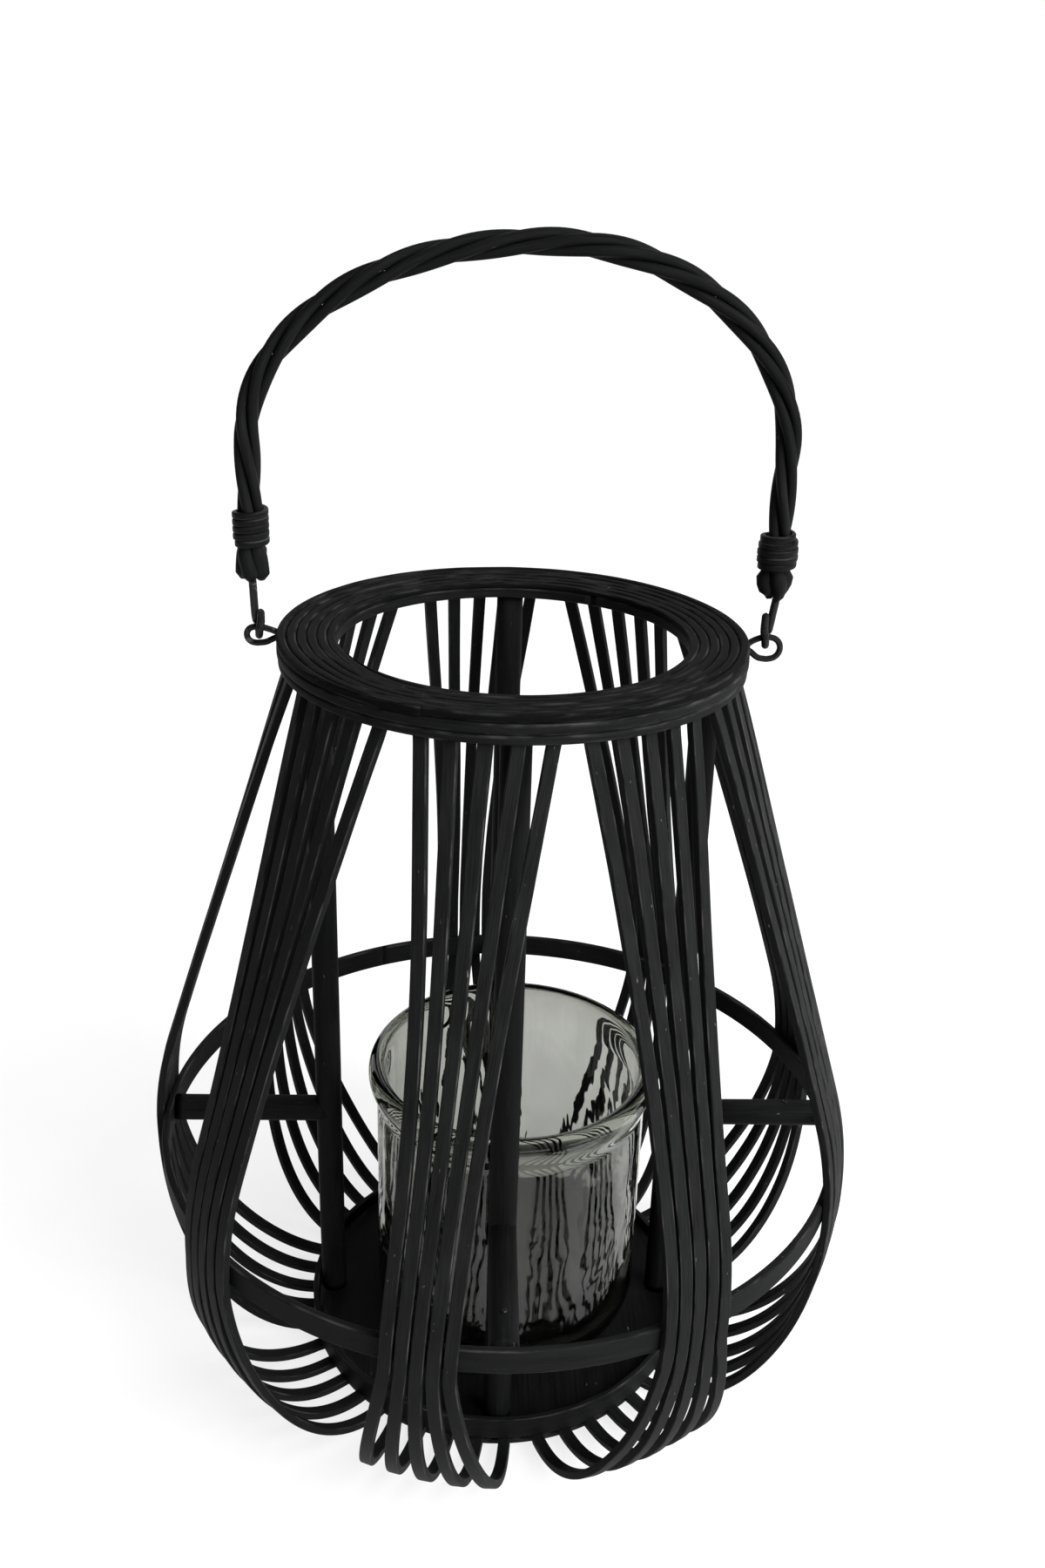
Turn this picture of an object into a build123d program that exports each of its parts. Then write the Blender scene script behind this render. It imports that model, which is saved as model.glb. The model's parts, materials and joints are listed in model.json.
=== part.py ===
from build123d import *
import os
from math import cos, pi, radians, sin

# Candle lantern: a glass jar inside a pear-shaped cage of bent bamboo strips, under a bail handle.
# Millimetres. The origin is the centre of the underside of the bottom board. +Z is up, -Y is the front.
# Bearings are degrees from the front, growing towards +X, so the right side (+X) is at 90.

FRONT, RIGHT, REAR, LEFT = 0.0, 90.0, 180.0, 270.0
SKIN = 0.1  # air left between two curved faces of the same body

# Boards at the bottom. The strips lie sandwiched between them.
BOARD_RADIUS = 81.2
BOTTOM_BOARD_THICKNESS = 3.0
BASE_BOARD_THICKNESS = 4.8
RIM_THICKNESS = 2.5
RIM_HEIGHT = 10.0

# Bent strips, in bundles of five. They fan out at both ends and pinch together at the hoop.
STRIP_WIDTH = 5.0
STRIP_THICKNESS = 3.2
STRIPS_PER_BUNDLE = 5
END_PITCH = 8.0  # degrees from strip to strip at the ring and at the base
HOOP_PITCH = 2.27  # degrees from strip to strip at the hoop
FAN_POWER_BELOW = 1.2
FAN_POWER_ABOVE = 2.4
RING_BEARINGS = (-7, 32, 71, 109, 147, 189, 231, 271, 312)
HOOP_BEARINGS = (-12, 28, 67, 109, 147, 187, 227, 268, 310)
BASE_BEARINGS = (-14, 28, 67, 110, 147, 187, 227, 267, 308)

# The curve that a strip follows, at the middle of its thickness.
STRIP_INNER_END = 61.0
BELLY_START = 84.2
BELLY_WIDTH = 62.3
BELLY_HEIGHT = 103.0
SHOULDER_RADIUS = 148.4
SHOULDER_LEAN = 18.3
TUCK_BEND_RADIUS = 15.0

# Middle hoop, with a dowel spoke to each post.
HOOP_RADIUS = 143.7
HOOP_THICKNESS = 3.0
HOOP_BOTTOM = 104.0
HOOP_HEIGHT = 10.5
DOWEL_RADIUS = 5.5
POST_CENTRE_RADIUS = 74.6
NAIL_HEAD_RADIUS = 1.1
NAIL_HEAD_HEIGHT = 0.6
NAIL_SETBACK = 16.0  # from the hoop's inner face to the nail

# Top ring: a board and two hoops that grip the strips, under a flat coil of bent cane.
RING_RADIUS = 88.3
RING_HOLE_RADIUS = 66.0
RING_BOARD_BOTTOM = 321.0
BAND_THICKNESS = 2.9
LOWER_BAND_BOTTOM = 317.4
LOWER_BAND_SETBACK = 0.4
UPPER_BAND_BOTTOM = 321.0
COIL_BOTTOM = 325.2
COIL_HEIGHT = 3.6
COIL_TURNS = 6
COIL_GAP = 0.3
COIL_ROUNDING = 1.2

# Jar, resting on the base board a little to the right of centre.
JAR_OFFSET = 4.2
JAR_RADIUS = 57.8
JAR_LIP_RADIUS = 61.3
JAR_HEIGHT = 127.0
JAR_LIP_CROWN = 6.0
JAR_LIP_SWELL = 30.0  # degrees that the wall leans out on its way to the lip
JAR_WALL = 4.0
JAR_FLOOR = 8.0
JAR_FOOT_ROUND = 9.0
JAR_CORNER_ROUND = 6.0

# Wire eyes in the ring, and the hooks that turn in them.
EYE_WIRE_RADIUS = 1.2
EYE_RADIUS = 3.7
EYE_RUN = 3.6  # straight length of wire along the eye's top and bottom
EYE_RUN_PAST_HOOK = 0.8
EYE_HEIGHT = 323.9
EYE_SHANK_HEIGHT = 323.1
EYE_SHANK_DEPTH = 2.5
HOOK_WIRE_RADIUS = 1.5
HOOK_CLEARANCE = 0.3
HOOK_GRIP = 5.0  # length of hook wire held between the cane ends

# Handle: four canes twisted into a bail, with a cord binding over each end.
HANDLE_HALF_SPAN = 96.5
HANDLE_LEG_TOP = 397.0
HANDLE_RISE = 68.5
HANDLE_APEX_OFFSET = 10.5  # the arch was bent with its top a little to the right
CANE_COUNT = 4
CANE_RADIUS = 1.95
CANE_OFFSET = 2.87  # from the middle of the handle to the middle of a cane
TWIST_PITCH = 95.0
CANE_STATION_GAP = 11.0
CANE_FLARE = 2.2
FLARE_LENGTH = 12.0
LEFT_CANE_END = 346.0
RIGHT_CANE_END = 340.0
LEFT_BINDING_BOTTOM = 358.0
RIGHT_BINDING_BOTTOM = 353.0
BINDING_HEIGHT = 15.6
LEFT_BINDING_DEPTH = 1.8
RIGHT_BINDING_DEPTH = 2.8
BINDING_EDGE = 0.6

strip_bottom = BOTTOM_BOARD_THICKNESS
strip_mid = strip_bottom + STRIP_THICKNESS / 2
base_board_bottom = strip_bottom + STRIP_THICKNESS
base_board_top = base_board_bottom + BASE_BOARD_THICKNESS
hoop_mid = HOOP_BOTTOM + HOOP_HEIGHT / 2
hoop_inner = HOOP_RADIUS - HOOP_THICKNESS
belly_drop = BELLY_HEIGHT - strip_mid
band_inner = RING_RADIUS - BAND_THICKNESS
strip_tuck_radius = band_inner - SKIN - STRIP_THICKNESS / 2
ring_board_radius = strip_tuck_radius - STRIP_THICKNESS / 2 - SKIN


def on_bearing(radius, bearing, height):
    """The point at a radius from the lantern's axis, on a bearing, at a height."""
    turn = radians(bearing)
    return Vector(radius * sin(turn), -radius * cos(turn), height)


def outward(bearing):
    """The level direction away from the lantern's axis."""
    return on_bearing(1, bearing, 0)


def sideways(bearing):
    """The level direction at right angles to outward, towards growing bearings."""
    return Vector(cos(radians(bearing)), sin(radians(bearing)), 0)


def save(piece, name):
    """Label a piece and write its STEP file."""
    piece.label = name
    export_step(piece, os.path.join("parts", name + ".step"))


def band(outer, inner, bottom, height):
    """A round hoop with a rectangular section."""
    with BuildPart() as hoop:
        with BuildSketch(Plane.XY.offset(bottom)):
            Circle(outer)
            Circle(inner, mode=Mode.SUBTRACT)
        extrude(amount=height)
    return hoop.part


os.makedirs("parts", exist_ok=True)

# ---------------------------------------------------------------- boards and rim

with BuildPart() as bottom_board:
    with BuildSketch(Plane.XY):
        Circle(BOARD_RADIUS)
    extrude(amount=BOTTOM_BOARD_THICKNESS)
    chamfer(bottom_board.edges().group_by(Axis.Z)[0], 0.5)
save(bottom_board.part, "bottom_board")

with BuildPart() as base_board:
    with BuildSketch(Plane.XY.offset(base_board_bottom)):
        Circle(BOARD_RADIUS)
    extrude(amount=BASE_BOARD_THICKNESS)
save(base_board.part, "base_board")

rim_inner = BOARD_RADIUS + SKIN
save(band(rim_inner + RIM_THICKNESS, rim_inner, base_board_bottom, RIM_HEIGHT), "base_rim")

# ---------------------------------------------------------------- posts and spokes


def post(bearing):
    """A dowel standing on the base board and holding up the ring board."""
    with BuildPart() as dowel:
        with BuildSketch(Plane.XY.offset(base_board_top)):
            with Locations(on_bearing(POST_CENTRE_RADIUS, bearing, 0)):
                Circle(DOWEL_RADIUS)
        extrude(amount=RING_BOARD_BOTTOM - base_board_top)
    return dowel.part


def spoke(bearing):
    """A dowel from a post out to the hoop, its inner end coped to the post."""
    start = on_bearing(POST_CENTRE_RADIUS, bearing, hoop_mid)
    with BuildPart() as dowel:
        with BuildSketch(Plane(start, x_dir=sideways(bearing), z_dir=outward(bearing))):
            Circle(DOWEL_RADIUS)
        extrude(amount=hoop_inner - SKIN - POST_CENTRE_RADIUS)
        with Locations(start):
            Cylinder(DOWEL_RADIUS, 3 * DOWEL_RADIUS, mode=Mode.SUBTRACT)
    return dowel.part


for side, bearing in (("front", FRONT), ("right", RIGHT), ("rear", REAR), ("left", LEFT)):
    save(post(bearing), side + "_post")
    save(spoke(bearing), side + "_spoke")

save(band(HOOP_RADIUS, hoop_inner, HOOP_BOTTOM, HOOP_HEIGHT), "middle_hoop")

with BuildPart() as spoke_nails:
    for bearing in (FRONT, RIGHT, REAR, LEFT):
        head = on_bearing(hoop_inner - NAIL_SETBACK, bearing, hoop_mid + DOWEL_RADIUS)
        with BuildSketch(Plane(head)):
            Circle(NAIL_HEAD_RADIUS)
        extrude(amount=NAIL_HEAD_HEIGHT)
save(spoke_nails.part, "spoke_nails")

# ---------------------------------------------------------------- bent strips

# In the X-Z plane: under the base, round the belly, up the flank, and into the ring.
bends = SHOULDER_RADIUS + TUCK_BEND_RADIUS
drawn_in = BELLY_START + BELLY_WIDTH - strip_tuck_radius - bends * (1 - cos(radians(SHOULDER_LEAN)))
flank_length = drawn_in / sin(radians(SHOULDER_LEAN))
with BuildLine(Plane.XZ) as strip_curve:
    under = Line((STRIP_INNER_END, strip_mid), (BELLY_START, strip_mid))
    belly = EllipticalCenterArc((BELLY_START, BELLY_HEIGHT), BELLY_WIDTH, belly_drop, -90, arc_size=90)
    shoulder = JernArc(belly @ 1, belly % 1, SHOULDER_RADIUS, SHOULDER_LEAN)
    flank = Line(shoulder @ 1, (shoulder @ 1) + (shoulder % 1) * flank_length)
    tuck = JernArc(flank @ 1, flank % 1, TUCK_BEND_RADIUS, -SHOULDER_LEAN)
    end = Line(tuck @ 1, (strip_tuck_radius, COIL_BOTTOM - SKIN))
strip_stretches = (
    (under, (0,)),
    (belly, (0, 0.2, 0.4, 0.6, 0.8)),
    (shoulder, (0, 0.5)),
    (flank, (0, 0.3, 0.65)),
    (tuck, (0, 0.5)),
    (end, (0, 1)),
)


def strip_bearing(stretch, share, height, bundle, place):
    """Where a strip stands at one station. Place counts strips from the bundle's middle."""
    if stretch is under:
        return BASE_BEARINGS[bundle] + place * END_PITCH
    if stretch is belly:
        spread, power, far = 1 - share, FAN_POWER_BELOW, BASE_BEARINGS[bundle]
    else:
        rise = max(0, height - BELLY_HEIGHT) / (COIL_BOTTOM - BELLY_HEIGHT)
        spread, power, far = rise, FAN_POWER_ABOVE, RING_BEARINGS[bundle]
    pitch = HOOP_PITCH + (END_PITCH - HOOP_PITCH) * spread**power
    middle = HOOP_BEARINGS[bundle] + (far - HOOP_BEARINGS[bundle]) * spread
    return middle + place * pitch


def bent_strip(bundle, place):
    """One strip, lofted through its sections from the base to the ring."""
    with BuildPart() as strip:
        for stretch, shares in strip_stretches:
            for share in shares:
                point = stretch @ share
                bearing = strip_bearing(stretch, share, point.Z, bundle, place)
                centre = on_bearing(point.X, bearing, point.Z)
                along = stretch % share
                direction = outward(bearing) * along.X + Vector(0, 0, along.Z)
                with BuildSketch(Plane(centre, x_dir=sideways(bearing), z_dir=direction)):
                    Rectangle(STRIP_WIDTH, STRIP_THICKNESS)
        loft(ruled=True)
    return strip.part


for bundle in range(len(RING_BEARINGS)):
    places = range(-(STRIPS_PER_BUNDLE // 2), STRIPS_PER_BUNDLE // 2 + 1)
    strips = Compound(children=[bent_strip(bundle, place) for place in places])
    save(strips, f"slat_bundle_{bundle + 1}")

# ---------------------------------------------------------------- top ring

ring_board_height = COIL_BOTTOM - RING_BOARD_BOTTOM
save(band(ring_board_radius, RING_HOLE_RADIUS, RING_BOARD_BOTTOM, ring_board_height), "ring_board")
save(band(RING_RADIUS, band_inner, UPPER_BAND_BOTTOM, COIL_BOTTOM - UPPER_BAND_BOTTOM), "upper_band")
lower_band_height = UPPER_BAND_BOTTOM - LOWER_BAND_BOTTOM
lower_band_radius = RING_RADIUS - LOWER_BAND_SETBACK
save(band(lower_band_radius, band_inner, LOWER_BAND_BOTTOM, lower_band_height), "lower_band")

# The turns of the cane that lies coiled on top, drawn from the outermost inwards.
coil_step = (RING_RADIUS - RING_HOLE_RADIUS) / COIL_TURNS
with BuildPart() as ring_coil:
    with BuildSketch(Plane.XY.offset(COIL_BOTTOM)):
        for turn in range(COIL_TURNS):
            Circle(RING_RADIUS - turn * coil_step)
            Circle(RING_RADIUS - (turn + 1) * coil_step + COIL_GAP, mode=Mode.SUBTRACT)
    extrude(amount=COIL_HEIGHT)
    fillet(ring_coil.edges().group_by(Axis.Z)[-1], COIL_ROUNDING)
save(ring_coil.part, "ring_coil")

# ---------------------------------------------------------------- eyes in the ring

hinge_height = EYE_HEIGHT + EYE_RADIUS


def wire_eye(side):
    """A long wire loop standing in the X-Z plane, with a shank driven into the ring's upper band."""
    outer_end = side * (HANDLE_HALF_SPAN + EYE_RUN_PAST_HOOK)
    inner_end = outer_end - side * EYE_RUN
    loop_bottom = EYE_HEIGHT - EYE_RADIUS
    shank_start = side * (RING_RADIUS - EYE_SHANK_DEPTH)
    shank_length = abs(inner_end - shank_start) - EYE_RADIUS
    with BuildPart() as loop:
        with BuildLine(Plane.XZ):
            top = Line((inner_end, hinge_height), (outer_end, hinge_height))
            outer_bend = JernArc(top @ 1, top % 1, EYE_RADIUS, -180 * side)
            bottom = Line(outer_bend @ 1, (inner_end, loop_bottom))
            JernArc(bottom @ 1, bottom % 1, EYE_RADIUS, -180 * side)
        with BuildSketch(Plane(top @ 0, x_dir=(0, 1, 0), z_dir=(side, 0, 0))):
            Circle(EYE_WIRE_RADIUS)
        sweep()
        with BuildSketch(Plane((shank_start, 0, EYE_SHANK_HEIGHT), x_dir=(0, 1, 0), z_dir=(side, 0, 0))):
            Circle(EYE_WIRE_RADIUS)
        extrude(amount=shank_length)
    return loop.part


save(wire_eye(-1), "left_eye")
save(wire_eye(1), "right_eye")

# ---------------------------------------------------------------- handle, hooks and bindings


def wire_hook(side, cane_end):
    """A straight wire from between the cane ends, closed into a loop round the eye's top."""
    x = side * HANDLE_HALF_SPAN
    loop_radius = EYE_WIRE_RADIUS + HOOK_CLEARANCE + HOOK_WIRE_RADIUS
    shank_bottom = hinge_height + loop_radius
    with BuildPart() as hook:
        with Locations((x, 0, hinge_height)):
            Torus(loop_radius, HOOK_WIRE_RADIUS, rotation=(0, 90, 0))
        with BuildSketch(Plane.XY.offset(shank_bottom)):
            with Locations((x, 0)):
                Circle(HOOK_WIRE_RADIUS)
        extrude(amount=cane_end + HOOK_GRIP - shank_bottom)
    return hook.part


left_reach = HANDLE_HALF_SPAN + HANDLE_APEX_OFFSET
right_reach = HANDLE_HALF_SPAN - HANDLE_APEX_OFFSET
arch_centre = (HANDLE_APEX_OFFSET, HANDLE_LEG_TOP)
with BuildLine(Plane.XZ) as bail_curve:
    left_leg = Line((-HANDLE_HALF_SPAN, LEFT_CANE_END), (-HANDLE_HALF_SPAN, HANDLE_LEG_TOP))
    left_arch = EllipticalCenterArc(arch_centre, left_reach, HANDLE_RISE, 180, arc_size=-90)
    right_arch = EllipticalCenterArc(arch_centre, right_reach, HANDLE_RISE, 90, arc_size=-90)
    right_leg = Line((HANDLE_HALF_SPAN, HANDLE_LEG_TOP), (HANDLE_HALF_SPAN, RIGHT_CANE_END))
bail = Wire([left_leg, left_arch, right_arch, right_leg])
cane_stations = round(bail.length / CANE_STATION_GAP)
swirl_slope = 2 * pi * CANE_OFFSET / TWIST_PITCH


def cane(number):
    """One of the twisted canes. Their cut ends splay a little below the bindings."""
    across = Vector(0, 1, 0)
    with BuildPart() as rod:
        for station in range(cane_stations + 1):
            travelled = bail.length * station / cane_stations
            along = bail.tangent_at(travelled, PositionMode.LENGTH)
            away = along.cross(across)
            turn = 2 * pi * (number / CANE_COUNT + travelled / TWIST_PITCH)
            to_end = min(travelled, bail.length - travelled)
            flare = CANE_FLARE * max(0, 1 - to_end / FLARE_LENGTH) ** 2
            offset = (away * cos(turn) + across * sin(turn)) * (CANE_OFFSET + flare)
            swirl = (across * cos(turn) - away * sin(turn)) * swirl_slope
            centre = bail.position_at(travelled, PositionMode.LENGTH) + offset
            with BuildSketch(Plane(centre, x_dir=across, z_dir=along + swirl)):
                Circle(CANE_RADIUS)
        loft()
    return rod.part


def binding(side, bottom, depth):
    """The cord wound round the canes, as one sleeve of its outer shape."""
    bundle_radius = CANE_OFFSET + CANE_RADIUS + SKIN / 2
    with BuildPart() as wrap:
        with BuildSketch(Plane((side * HANDLE_HALF_SPAN, 0, bottom))):
            Circle(bundle_radius + depth)
            Circle(bundle_radius, mode=Mode.SUBTRACT)
        extrude(amount=BINDING_HEIGHT)
        chamfer(wrap.edges().filter_by(GeomType.CIRCLE).sort_by(SortBy.RADIUS)[-2:], BINDING_EDGE)
    return wrap.part


save(wire_hook(-1, LEFT_CANE_END), "left_hook")
save(wire_hook(1, RIGHT_CANE_END), "right_hook")
for number in range(CANE_COUNT):
    save(cane(number), f"handle_cane_{number + 1}")
save(binding(-1, LEFT_BINDING_BOTTOM, LEFT_BINDING_DEPTH), "left_binding")
save(binding(1, RIGHT_BINDING_BOTTOM, RIGHT_BINDING_DEPTH), "right_binding")

# ---------------------------------------------------------------- jar

jar_inner = JAR_RADIUS - JAR_WALL
crown_half_width = (JAR_LIP_RADIUS - jar_inner) / 2
crown_base = JAR_HEIGHT - JAR_LIP_CROWN
swell_radius = (JAR_LIP_RADIUS - JAR_RADIUS) / (1 - cos(radians(JAR_LIP_SWELL))) / 2
swell_height = 2 * swell_radius * sin(radians(JAR_LIP_SWELL))
with BuildPart() as jar:
    with BuildSketch(Plane((JAR_OFFSET, 0, base_board_top), x_dir=(1, 0, 0), z_dir=(0, -1, 0))):
        with BuildLine():
            foot = Line((0, 0), (JAR_RADIUS - JAR_FOOT_ROUND, 0))
            heel = JernArc(foot @ 1, foot % 1, JAR_FOOT_ROUND, 90)
            wall = Line(heel @ 1, (JAR_RADIUS, crown_base - swell_height))
            swell = JernArc(wall @ 1, wall % 1, swell_radius, -JAR_LIP_SWELL)
            lip = JernArc(swell @ 1, swell % 1, swell_radius, JAR_LIP_SWELL)
            crown_centre = (JAR_LIP_RADIUS - crown_half_width, crown_base)
            EllipticalCenterArc(crown_centre, crown_half_width, JAR_LIP_CROWN, 0, arc_size=180)
            bore = Line((jar_inner, crown_base), (jar_inner, JAR_FLOOR + JAR_CORNER_ROUND))
            corner = JernArc(bore @ 1, bore % 1, JAR_CORNER_ROUND, -90)
            inside = Line(corner @ 1, (0, JAR_FLOOR))
            Line(inside @ 1, foot @ 0)
        make_face()
    revolve(axis=Axis((JAR_OFFSET, 0, 0), (0, 0, 1)))
save(jar.part, "jar")
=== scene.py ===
import json
import random
from math import ceil, cos, degrees, hypot, pi, radians, sin, tau

import bmesh
import bpy
from mathutils import Matrix, Vector, noise


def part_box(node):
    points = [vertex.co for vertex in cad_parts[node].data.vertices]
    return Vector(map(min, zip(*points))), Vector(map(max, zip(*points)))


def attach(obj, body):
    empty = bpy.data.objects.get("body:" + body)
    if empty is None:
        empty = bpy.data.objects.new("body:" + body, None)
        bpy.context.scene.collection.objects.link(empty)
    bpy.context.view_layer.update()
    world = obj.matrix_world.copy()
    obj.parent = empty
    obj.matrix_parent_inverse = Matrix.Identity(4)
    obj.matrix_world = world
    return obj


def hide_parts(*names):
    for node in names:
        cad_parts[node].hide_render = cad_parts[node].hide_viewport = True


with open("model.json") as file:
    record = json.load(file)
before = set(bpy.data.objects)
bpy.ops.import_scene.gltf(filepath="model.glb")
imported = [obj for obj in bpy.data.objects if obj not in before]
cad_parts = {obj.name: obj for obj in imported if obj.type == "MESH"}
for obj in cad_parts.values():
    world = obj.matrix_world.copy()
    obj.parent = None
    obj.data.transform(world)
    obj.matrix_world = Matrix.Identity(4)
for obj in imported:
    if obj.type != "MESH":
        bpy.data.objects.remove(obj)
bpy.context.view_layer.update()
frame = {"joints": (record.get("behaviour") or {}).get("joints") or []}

# A candle lantern of black-stained bamboo and cane, round a loose glass jar. Metres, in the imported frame's
# axes. Bearings are degrees from the front (-Y), growing towards +X, as in the part's source.

MM = 0.001
UP = Vector((0, 0, 1))
dice = random.Random(7)


def height_range(node):
    """Lowest and highest z of a CAD node."""
    low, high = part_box(node)
    return low.z, high.z


def radius_of(node):
    """Outer radius of a round CAD node."""
    low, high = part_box(node)
    return (high.x - low.x) / 2


def bearing_out(bearing):
    """Level direction away from the lantern's axis."""
    return Vector((sin(radians(bearing)), -cos(radians(bearing)), 0))


def bearing_side(bearing):
    """Level direction at right angles to bearing_out, towards growing bearings."""
    return Vector((cos(radians(bearing)), sin(radians(bearing)), 0))


def wander(seed, place, reach=1.0):
    """Smooth unevenness from -reach to reach, different for each seed."""
    return reach * noise.noise(Vector((place, seed * 3.17, seed * 1.31)))


def smoothstep(share):
    """0 below 0, 1 above 1, and a smooth ease between."""
    share = min(1.0, max(0.0, share))
    return share * share * (3 - 2 * share)


# ---------------------------------------------------------------- materials


class Shader:
    """Builds one Principled material, node by node."""

    def __init__(self, name):
        self.material = bpy.data.materials.new(name)
        self.material.use_nodes = True
        self.tree = self.material.node_tree
        self.surface = self.tree.nodes["Principled BSDF"]

    def add(self, kind, inputs=None, **settings):
        """A node, with its settings, and its inputs given as values or as sockets to link from."""
        node = self.tree.nodes.new("ShaderNode" + kind)
        for key, value in settings.items():
            setattr(node, key, value)
        self.feed(node, inputs or {})
        return node

    def feed(self, node, inputs):
        """Sets a node's inputs to values, or links them from sockets."""
        for key, value in inputs.items():
            if isinstance(value, bpy.types.NodeSocket):
                self.tree.links.new(value, node.inputs[key])
            else:
                node.inputs[key].default_value = value

    def noise(self, space, stretch, detail=4.0, roughness=0.55, swirl=0.0):
        """Noise in a coordinate space stretched by three factors, in features per metre."""
        scaled = self.add("VectorMath", {0: space, 1: stretch}, operation="MULTIPLY")
        inputs = {"Vector": scaled.outputs[0], "Scale": 1.0, "Detail": detail, "Roughness": roughness,
                  "Distortion": swirl}
        return self.add("TexNoise", inputs).outputs["Fac"]

    def span(self, value, low, high, to_low=0.0, to_high=1.0):
        """Value remapped from low..high to to_low..to_high, and clamped."""
        inputs = {"Value": value, "From Min": low, "From Max": high, "To Min": to_low, "To Max": to_high}
        return self.add("MapRange", inputs).outputs["Result"]

    def times(self, first, second):
        return self.add("Math", {0: first, 1: second}, operation="MULTIPLY").outputs[0]

    def plus(self, first, second):
        return self.add("Math", {0: first, 1: second}, operation="ADD").outputs[0]

    def blend(self, share, first, second):
        """Colour between first and second."""
        node = self.add("Mix", data_type="RGBA")
        self.feed(node, {0: share, 6: first, 7: second})
        return node.outputs[2]

    def bump(self, height, distance, strength=1.0):
        inputs = {"Height": height, "Distance": distance, "Strength": strength}
        return self.add("Bump", inputs).outputs["Normal"]


def grey(value, warm=0.0):
    """A near-neutral linear colour. Warm shifts it from blue towards yellow."""
    return (value * (1 + warm), value, value * (1 - warm), 1.0)


def stained_wood(name, body_tone, pale_tone, streak_across, streak_along, roughness, worn=0.5, sheen=0.1):
    """Matte black stain over wood: streaks along the grain, mottling, fine pores and paler worn edges."""
    made = Shader(name)
    grain = made.add("Attribute", attribute_name="grain").outputs["Vector"]
    wear = made.add("Attribute", attribute_name="wear").outputs["Fac"]
    streaks = made.noise(grain, (streak_across, streak_along, 40.0), detail=6.0, roughness=0.62)
    mottle = made.noise(grain, (150.0, 38.0, 23.0), detail=3.0)
    pores = made.noise(grain, (3 * streak_across, 4 * streak_along, 61.0), detail=2.0)
    tone = made.plus(made.times(streaks, 0.65), made.times(mottle, 0.35))
    dark, light = grey(0.5 * body_tone, -0.03), grey(1.35 * body_tone, -0.03)
    colour = made.blend(made.span(tone, 0.36, 0.66), dark, light)
    rubbed = made.span(made.noise(grain, (420.0, 70.0, 31.0), detail=5.0), 0.46, 0.72)
    edge = made.times(made.times(wear, rubbed), worn)
    colour = made.blend(edge, colour, grey(pale_tone, 0.04))
    chips = made.span(made.noise(grain, (900.0, 210.0, 17.0), detail=2.0), 0.735, 0.77)
    colour = made.blend(made.times(chips, 0.7), colour, grey(1.5 * pale_tone, 0.10))
    relief = made.plus(streaks, made.times(pores, 0.45))
    relief = made.plus(relief, made.times(chips, -1.2))
    made.feed(made.surface, {
        "Base Color": colour,
        "Roughness": made.span(tone, 0.3, 0.7, roughness - 0.09, roughness + 0.1),
        "Specular IOR Level": sheen,
        "Normal": made.bump(relief, 0.00016, 0.75),
    })
    return made.material


def painted_wire():
    """Black enamel on steel wire, with runs and a few rubbed spots."""
    made = Shader("black_enamel")
    space = made.add("TexCoord").outputs["Object"]
    runs = made.noise(space, (700.0, 700.0, 260.0), detail=3.0)
    rubs = made.span(made.noise(space, (330.0, 330.0, 330.0), detail=5.0), 0.62, 0.7)
    made.feed(made.surface, {
        "Base Color": made.blend(rubs, grey(0.004), grey(0.03, 0.05)),
        "Roughness": made.span(runs, 0.3, 0.7, 0.14, 0.3),
        "Specular IOR Level": 0.14,
        "Normal": made.bump(runs, 0.0002, 0.6),
    })
    return made.material


def rippled_glass():
    """Thick glass with a faint olive cast, and a pressed jar's ripples, which fade towards the lip."""
    made = Shader("rippled_glass")
    space = made.add("TexCoord").outputs["Object"]
    height = made.add("SeparateXYZ", {"Vector": space}).outputs["Z"]
    drawn = made.span(height, 0.05, 0.11, 1.0, 0.12)
    flow = made.noise(space, (44.0, 44.0, 28.0), detail=2.0, roughness=0.45, swirl=1.3)
    fine = made.noise(space, (190.0, 190.0, 120.0), detail=3.0)
    relief = made.times(drawn, made.plus(flow, made.times(fine, 0.04)))
    made.feed(made.surface, {
        "Base Color": made.blend(flow, (0.36, 0.365, 0.345, 1), (0.49, 0.495, 0.475, 1)),
        "Roughness": made.span(height, 0.02, 0.10, 0.10, 0.015),
        "IOR": 1.48,
        "Transmission Weight": 1.0,
        "Normal": made.bump(relief, 0.0021, 0.5),
    })
    olive = made.add("VolumeAbsorption", {"Color": (0.54, 0.57, 0.46, 1), "Density": 60.0})
    made.tree.links.new(olive.outputs["Volume"], made.tree.nodes["Material Output"].inputs["Volume"])
    return made.material


def studio_paper():
    """Seamless paper with a barely visible tooth, and a glow of its own that keeps it pale all round."""
    made = Shader("studio_paper")
    space = made.add("TexCoord").outputs["Object"]
    tooth = made.noise(space, (900.0, 900.0, 900.0), detail=3.0)
    made.feed(made.surface, {
        "Base Color": made.blend(tooth, grey(0.10), grey(0.11)),
        "Roughness": 0.9,
        "Emission Color": (1.0, 1.0, 1.0, 1.0),
        "Emission Strength": 0.78,
        "Specular IOR Level": 0.1,
        "Normal": made.bump(tooth, 0.0002, 0.2),
    })
    made.material.cycles.emission_sampling = "NONE"
    return made.material


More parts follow.
